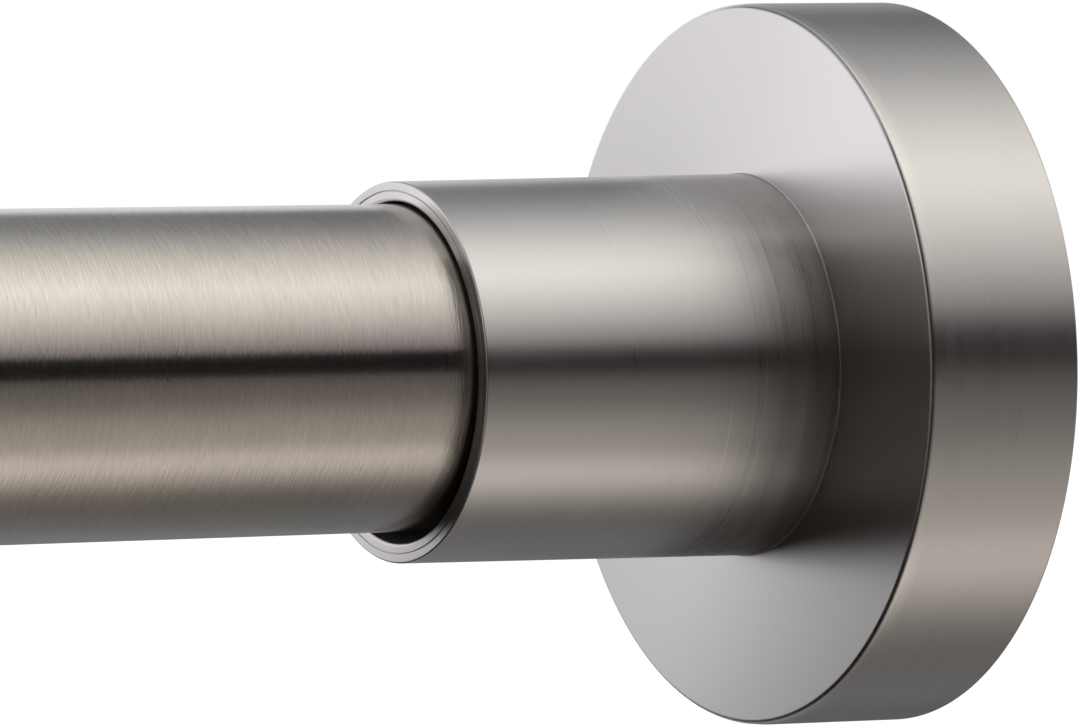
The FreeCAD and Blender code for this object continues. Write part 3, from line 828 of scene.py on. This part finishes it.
class RodFeet(bpy.types.Operator):
    """Build the feet and the rubber wall pads"""

    bl_idname = "tension_rod.feet"
    bl_label = "Feet and Pads"

    def execute(self, context):
        sunk = 0.1 * MM
        plate = [(PAD, 0, 0), (PAD, FOOT_RADIUS, 0.4 * MM), (FOOT_FLOOR, FOOT_RADIUS, 0.2 * MM),
                 (FOOT_FLOOR, 0, 0)]
        pad = [(0, 0, 0), (0, PAD_RADIUS, 0.5 * MM), (PAD, PAD_RADIUS, 0.1 * MM), (PAD, 0, 0)]
        for side, body in WALL_ENDS.items():
            bars = ribs(side, FOOT_FLOOR - sunk, FOOT_FRONT, PAD_RADIUS)
            piece = joined(f"{side}_foot_moulding", [turned(from_wall(side, plate)), *bars])
            settle(piece, body, plastic(), f"{side}_foot")
            piece = joined(f"{side}_wall_pad_disc", [turned(from_wall(side, pad))])
            settle(piece, body, rubber(), f"{side}_wall_pad")
        return {"FINISHED"}


class RodFasteners(bpy.types.Operator):
    """Build the pivot bolts and the lock's stop nut"""

    bl_idname = "tension_rod.fasteners"
    bl_label = "Bolts and Nut"

    def execute(self, context):
        count = THREAD_AROUND
        for side, body in (("right", "outer_tube_set"), ("left", "inner_tube_set")):
            back, seat, thread, tip = (axis_place(side, distance) for distance in BOLT_PLACES)
            rings = stacked(bevelled(back, seat, NUT_WIDTH, count, both=False),
                            plain(seat, thread, BOLT_RADIUS, count),
                            threaded(thread, tip, BOLT_RADIUS, THREAD_PITCH, count))
            piece = joined(f"{side}_pivot_bolt_threaded", [lathed(*rings)], SHARP)
            settle(piece, body, steel(), f"{side}_pivot_bolt")
        low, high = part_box("lock_stop_nut")
        rings = stacked(bevelled(low.x, high.x, NUT_WIDTH, count), plain(high.x, low.x, NUT_BORE, count))
        piece = joined("stop_nut_hexagon", [lathed(*rings, bored=True)], SHARP)
        settle(piece, "plunger", steel(), "lock_stop_nut")
        return {"FINISHED"}


class RodPlunger(bpy.types.Operator):
    """Build the plunger rod and the spring that it presses on"""

    bl_idname = "tension_rod.plunger"
    bl_label = "Plunger and Spring"

    def execute(self, context):
        count = THREAD_AROUND
        low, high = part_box("plunger_rod")
        shank_start, head_start = -87.4 * MM, -136.5 * MM
        shank_width, head_width = 8.0 * MM, 16.0 * MM
        shank = np.array([shank_start, head_start]), np.repeat(hexagon(shank_width, count)[None], 2, 0)
        rings = stacked(threaded(high.x, shank_start, BOLT_RADIUS, THREAD_PITCH, count), shank,
                        bevelled(head_start, low.x, head_width, count))
        piece = joined("plunger_rod_threaded", [lathed(*rings)], SHARP)
        settle(piece, "plunger", steel(), "plunger_rod")

        first, last = -141.25 * MM, -228.75 * MM
        radius, wire, turns = 7.5 * MM, 1.4 * MM, 7
        spring = joined("spring_coil", [coil(first, last, radius, wire, turns)], SHARP)
        settle(spring, "inner_tube_set", spring_steel(), "spring")
        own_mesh(spring)
        return {"FINISHED"}


class RodHidden(bpy.types.Operator):
    """Give the pieces inside the rod their finishes"""

    bl_idname = "tension_rod.hidden"
    bl_label = "Hidden Pieces"

    def execute(self, context):
        finishes = {
            plastic: ("right_end_plug", "left_end_plug", "lock_sleeve", "guide_bush", "spring_stop"),
            steel: ("lock_wedge_nut",),
        }
        for finish, nodes in finishes.items():
            for node in nodes:
                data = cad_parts[node].data
                data.materials.clear()
                data.materials.append(finish())
        return {"FINISHED"}


# The studio: what the metal reflects, soft lamps for the rest, a pale floor and the camera.

# Colours of the light, and what the metal sees at each angle: (degrees, strength, colour).

WARM, AMBER = (1, 0.965, 0.925), (1, 0.92, 0.85)
MAUVE, COOL = (1, 0.91, 0.93), (0.965, 0.985, 1.03)
LILAC, UMBER = (0.972, 0.958, 0.995), (1, 0.74, 0.55)
TENT_STOPS = (
    (-179, 0.20, COOL), (-150, 0.24, COOL), (-137, 0.22, COOL), (-118, 0.18, COOL), (-102, 0.15, AMBER),
    (-88, 0.20, AMBER), (-78, 0.38, AMBER), (-66, 0.68, AMBER), (-58, 0.70, AMBER), (-48, 0.44, AMBER),
    (-32, 0.35, AMBER), (-18, 0.20, AMBER), (-9, 0.155, AMBER), (-2.7, 0.12, AMBER), (0.8, 0.014, COOL),
    (13.4, 0.008, COOL), (15.6, 0.23, MAUVE), (22, 0.40, MAUVE), (31, 0.60, WARM), (46, 0.92, WARM),
    (61, 1.20, WARM), (77, 0.97, WARM), (92, 0.72, WARM), (107, 0.47, COOL), (120, 0.32, COOL),
    (133, 0.27, COOL), (147, 0.24, COOL), (151, 0.84, COOL), (179, 0.92, COOL),
)
BACKDROP_STOPS = (
    (-40, 0.32, LILAC), (-22, 0.43, LILAC), (-10, 0.56, LILAC), (-4, 0.67, LILAC), (0, 1.26, LILAC),
    (6, 1.34, LILAC), (14, 0.94, LILAC), (30, 0.76, LILAC), (45, 0.70, LILAC), (60, 0.60, LILAC),
    (75, 0.46, LILAC), (85, 0.22, LILAC),
)

# Where the panels stand, in metres, and between which angles, in degrees above the front.

TENT_RADIUS, TENT_SPAN = 0.45, (-1.7, 1.0)
BACKDROP_RADIUS, BACKDROP_SPAN, BACKDROP_ANGLES = 0.44, (-1.7, -0.06), (96, 215)
CARD_PLACE, CARD_LOW, CARD_STRENGTH = -0.095, -160, 0.010
CARDS = (("dark_card", (0.04, 0.152), 80), ("outer_dark_card", (0.152, 0.44), 152))
CAP_RADII = (0.0005, 0.449)
CAPS = (("left_cap", -1.69, 0.2), ("right_cap", 0.99, 0.3))

# Each lamp's place, what it points at, its width and height in metres, and its power in watts.

LAMPS = (
    ("key", (-0.9, -1.3, 1.5), (-0.25, 0, 0), (1.4, 1.0), 34),
    ("fill", (0.9, -1.4, 0.3), (-0.25, 0, 0), (1.2, 1.2), 12),
    ("back", (-0.3, 1.6, 1.2), (-0.3, 0, 0), (1.6, 0.8), 16),
)
FLOOR_SIZE, FLOOR_PLACE = 40, (-0.3, 0, -0.35)
CAMERA_TURN, CAMERA_TILT = math.radians(29.577), math.radians(2.298)
CAMERA_PLACE = (-0.33756 - DISC_FRONT, -0.56263, 0.02640)


def glossy_only(name, points, faces):
    """A stage mesh that only the metal's reflections see."""
    mesh = bpy.data.meshes.new(name)
    mesh.from_pydata(points.tolist(), [], faces.tolist())
    panel = bpy.data.objects.new(name, mesh)
    bpy.context.scene.collection.objects.link(panel)
    panel.visible_camera = False
    panel.visible_diffuse = False
    panel.visible_shadow = False
    panel.visible_transmission = False
    panel.visible_volume_scatter = False
    return panel


def strip_faces(rows):
    """Faces between two rows of points, numbered one row after the other."""
    number = np.arange(2 * rows).reshape(2, rows)
    return np.stack([number[0, :-1], number[0, 1:], number[1, 1:], number[1, :-1]], 1)


def sector(name, radius, low, high, x_range, rows):
    """Part of a tube about the rod's axis: (x, -r cos a, r sin a) for angle a above the front."""
    grid_x, grid_a = np.meshgrid(np.array(x_range), np.radians(np.linspace(low, high, rows)), indexing="ij")
    points = np.stack([grid_x, -radius * np.cos(grid_a), radius * np.sin(grid_a)], 2).reshape(-1, 3)
    return glossy_only(name, points, strip_faces(rows))


def ring_card(name, x, radii, low, high, rows):
    """Part of a flat ring across the rod's axis, facing +X: (x, -r cos a, r sin a)."""
    radius, angle = np.meshgrid(np.array(radii), np.radians(np.linspace(low, high, rows)), indexing="ij")
    points = np.stack([np.full(radius.shape, x), -radius * np.cos(angle), radius * np.sin(angle)], 2)
    points, faces = points.reshape(-1, 3), strip_faces(rows)
    a, b, c = points[faces[0, :3]]
    if np.cross(b - a, c - a)[0] < 0:
        faces = faces[:, ::-1]
    return glossy_only(name, points, faces)


def glow_material(name):
    """An empty material for a panel that glows but isn't sampled as a lamp."""
    material, tree = new_material(name)
    material.cycles.emission_sampling = "NONE"
    tree.nodes.clear()
    return material, tree


def shown(tree, shader):
    """Make this shader the material's surface."""
    out = tree.nodes.new("ShaderNodeOutputMaterial")
    link(tree, shader.outputs[0], out.inputs["Surface"])


def tent_strength(tree, x, z, angle):
    """Brighter beside the right wall, dimmer a little left of it, and dimmer far right, most so behind."""
    far = ranged(tree, x, -0.24, -0.16, 0.0, 1.0, True)
    left = ranged(tree, x, -0.06, -0.01, -0.5, 0.65, True)
    right = ranged(tree, x, 0.10, 0.05, 0.0, 1.0, True)
    strip = product(tree, product(tree, left, right), far)
    rear = ranged(tree, math_node(tree, "ABSOLUTE", angle), 2.1, 2.6, 0.16, 1.0, True)
    fade = ranged(tree, x, 0.17, 0.25, 0.0, -0.6, True)
    return total(tree, total(tree, strip, product(tree, rear, fade)), 1.0)


def backdrop_strength(tree, x, z, angle):
    """Dimmer towards the left below the rod, and brighter there above it."""
    lower = ranged(tree, x, -0.29, -0.42, 1.0, 0.25, True)
    upper = ranged(tree, x, -0.25, -0.38, 0.95, 1.2, True)
    rise = ranged(tree, z, -0.04, 0.02, 0.0, 1.0, True)
    return total(tree, lower, product(tree, math_node(tree, "SUBTRACT", upper, lower), rise))


def ring_glow(name, stops, strength=None, behind=False):
    """Glow by the angle above the front, or above the back, as the stops say, times the strength."""
    material, tree = glow_material(name)
    place = tree.nodes.new("ShaderNodeTexCoord")
    x, y, z = split_vector(tree, place.outputs["Object"])
    angle = math_node(tree, "ARCTAN2", z, product(tree, y, 1.0 if behind else -1.0))
    ramp = tree.nodes.new("ShaderNodeValToRGB")
    link(tree, ranged(tree, angle, -math.pi, math.pi, 0.0, 1.0), ramp.inputs[0])
    marks = ramp.color_ramp.elements
    while len(marks) < len(stops):
        marks.new(1.0)
    for mark, (degrees, level, tint) in zip(marks, stops):
        mark.position = (degrees + 180) / 360
        mark.color = (*(level * part for part in tint), 1)
    glow = tree.nodes.new("ShaderNodeEmission")
    link(tree, ramp.outputs[0], glow.inputs["Color"])
    if strength:
        link(tree, strength(tree, x, z, angle), glow.inputs["Strength"])
    shown(tree, glow)
    return material


def card_glow():
    """Near black on the side that faces the right-hand wall, and clear from the other side."""
    material, tree = glow_material("card_glow")
    side = tree.nodes.new("ShaderNodeNewGeometry")
    dark = tree.nodes.new("ShaderNodeEmission")
    dark.inputs["Color"].default_value = (*UMBER, 1)
    dark.inputs["Strength"].default_value = CARD_STRENGTH
    clear = tree.nodes.new("ShaderNodeBsdfTransparent")
    mix = tree.nodes.new("ShaderNodeMixShader")
    link(tree, side.outputs["Backfacing"], mix.inputs[0])
    link(tree, dark.outputs[0], mix.inputs[1])
    link(tree, clear.outputs[0], mix.inputs[2])
    shown(tree, mix)
    return material


def panels():
    """The tent round the rod, the backdrop behind it, the dark cards and the tent's two ends."""
    tent = sector("light_tent", TENT_RADIUS, -179, 179, TENT_SPAN, 181)
    tent.data.materials.append(ring_glow("tent_glow", TENT_STOPS, tent_strength))
    backdrop = sector("backdrop", BACKDROP_RADIUS, *BACKDROP_ANGLES, BACKDROP_SPAN, 49)
    backdrop.data.materials.append(ring_glow("backdrop_glow", BACKDROP_STOPS, backdrop_strength, True))
    dark = card_glow()
    for name, radii, high in CARDS:
        ring_card(name, CARD_PLACE, radii, CARD_LOW, high, 65).data.materials.append(dark)
    for name, x, level in CAPS:
        cap = ring_card(name, x, CAP_RADII, -180, 180, 73)
        stops = (-179, level, COOL), (179, level, COOL)
        cap.data.materials.append(ring_glow(f"{name}_glow", stops))


def seen_directly(tree):
    """1 for camera, glossy and transmission rays, which see the white background itself."""
    path = tree.nodes.new("ShaderNodeLightPath")
    seen = math_node(tree, "MAXIMUM", path.outputs["Is Camera Ray"], path.outputs["Is Glossy Ray"])
    return math_node(tree, "MAXIMUM", seen, path.outputs["Is Transmission Ray"])


def white_world():
    """White where it is seen, and dimmer as a light."""
    world = bpy.data.worlds.new("studio_white")
    world.use_nodes = True
    tree = world.node_tree
    background = tree.nodes["Background"]
    background.inputs["Color"].default_value = (1, 1, 1, 1)
    link(tree, ranged(tree, seen_directly(tree), 0, 1, 0.45, 1.0), background.inputs["Strength"])
    return world


def soft_lamp(name, place, aim, size, power):
    """A rectangular lamp that the metal doesn't mirror."""
    lamp = bpy.data.lights.new(name, "AREA")
    lamp.shape = "RECTANGLE"
    lamp.size, lamp.size_y = size
    lamp.energy = power
    holder = bpy.data.objects.new(name, lamp)
    holder.location = place
    holder.rotation_mode = "QUATERNION"
    holder.rotation_quaternion = (Vector(aim) - Vector(place)).to_track_quat("-Z", "Y")
    bpy.context.scene.collection.objects.link(holder)
    holder.visible_camera = False
    holder.visible_glossy = False


def pale_floor():
    """A floor that is white to the camera and takes the rod's shadow."""
    bpy.ops.mesh.primitive_plane_add(size=FLOOR_SIZE, location=FLOOR_PLACE)
    floor = bpy.context.object
    floor.name = "floor"
    floor.visible_glossy = False
    material, tree = new_material("pale_floor")
    shader = tree.nodes["Principled BSDF"]
    shader.inputs["Base Color"].default_value = (0.8, 0.8, 0.8, 1)
    shader.inputs["Roughness"].default_value = 1.0
    shader.inputs["Emission Color"].default_value = (1, 1, 1, 1)
    link(tree, ranged(tree, seen_directly(tree), 0, 1, 0.0, 0.68), shader.inputs["Emission Strength"])
    floor.data.materials.append(material)


def photo_camera(focal_length):
    """The camera at the photograph's place: turned about Z, then tilted down."""
    lens = bpy.data.cameras.new("camera")
    lens.sensor_width = 36
    lens.lens = focal_length
    lens.clip_start = 0.01
    lens.clip_end = 60
    camera = bpy.data.objects.new("camera", lens)
    level = math.cos(CAMERA_TILT)
    ahead = Vector((math.sin(CAMERA_TURN) * level, math.cos(CAMERA_TURN) * level, -math.sin(CAMERA_TILT)))
    right = ahead.cross(Vector((0, 0, 1))).normalized()
    up = right.cross(ahead)
    facing = Matrix((right, up, -ahead)).transposed().to_4x4()
    camera.matrix_world = Matrix.Translation(Vector(CAMERA_PLACE)) @ facing
    bpy.context.scene.collection.objects.link(camera)
    return camera


class RodStudio(bpy.types.Operator):
    """Set up the studio light, the floor and the camera"""

    bl_idname = "tension_rod.studio"
    bl_label = "Studio"

    def execute(self, context):
        scene = context.scene
        panels()
        for lamp in LAMPS:
            soft_lamp(*lamp)
        scene.world = white_world()
        pale_floor()
        scene.camera = photo_camera(scene.rod_studio.lens)
        scene.view_settings.view_transform = "Standard"
        return {"FINISHED"}


class RodPanel(bpy.types.Panel):
    """Sidebar panel with the rod's settings and its pieces"""

    bl_idname = "TENSIONROD_PT_pieces"
    bl_label = "Spring Tension Rod"
    bl_space_type = "VIEW_3D"
    bl_region_type = "UI"
    bl_category = "Tension Rod"

    def draw(self, context):
        for group in (context.scene.rod_sizes, context.scene.rod_finish, context.scene.rod_studio):
            box = self.layout.box()
            for name in group.__annotations__:
                box.prop(group, name)
        for piece in PIECES:
            self.layout.operator(piece.bl_idname)


PIECES = (RodFlanges, RodTubes, RodBush, RodFeet, RodFasteners, RodPlunger, RodHidden, RodStudio)
GROUPS = {"rod_sizes": RodSizes, "rod_finish": RodFinish, "rod_studio": StudioSettings}
CLASSES = (*GROUPS.values(), *PIECES, RodPanel)


def register():
    """Make the settings, the operators and the panel known to Blender."""
    for item in CLASSES:
        bpy.utils.register_class(item)
    for name, group in GROUPS.items():
        setattr(bpy.types.Scene, name, bpy.props.PointerProperty(type=group))


def unregister():
    """Take them out again, in the opposite order."""
    for name in GROUPS:
        delattr(bpy.types.Scene, name)
    for item in reversed(CLASSES):
        bpy.utils.unregister_class(item)


def main():
    """Build every piece and the studio."""
    register()
    bpy.ops.tension_rod.flanges()
    bpy.ops.tension_rod.tubes()
    bpy.ops.tension_rod.bush()
    bpy.ops.tension_rod.feet()
    bpy.ops.tension_rod.fasteners()
    bpy.ops.tension_rod.plunger()
    bpy.ops.tension_rod.hidden()
    bpy.ops.tension_rod.studio()


if __name__ == "__main__":
    main()
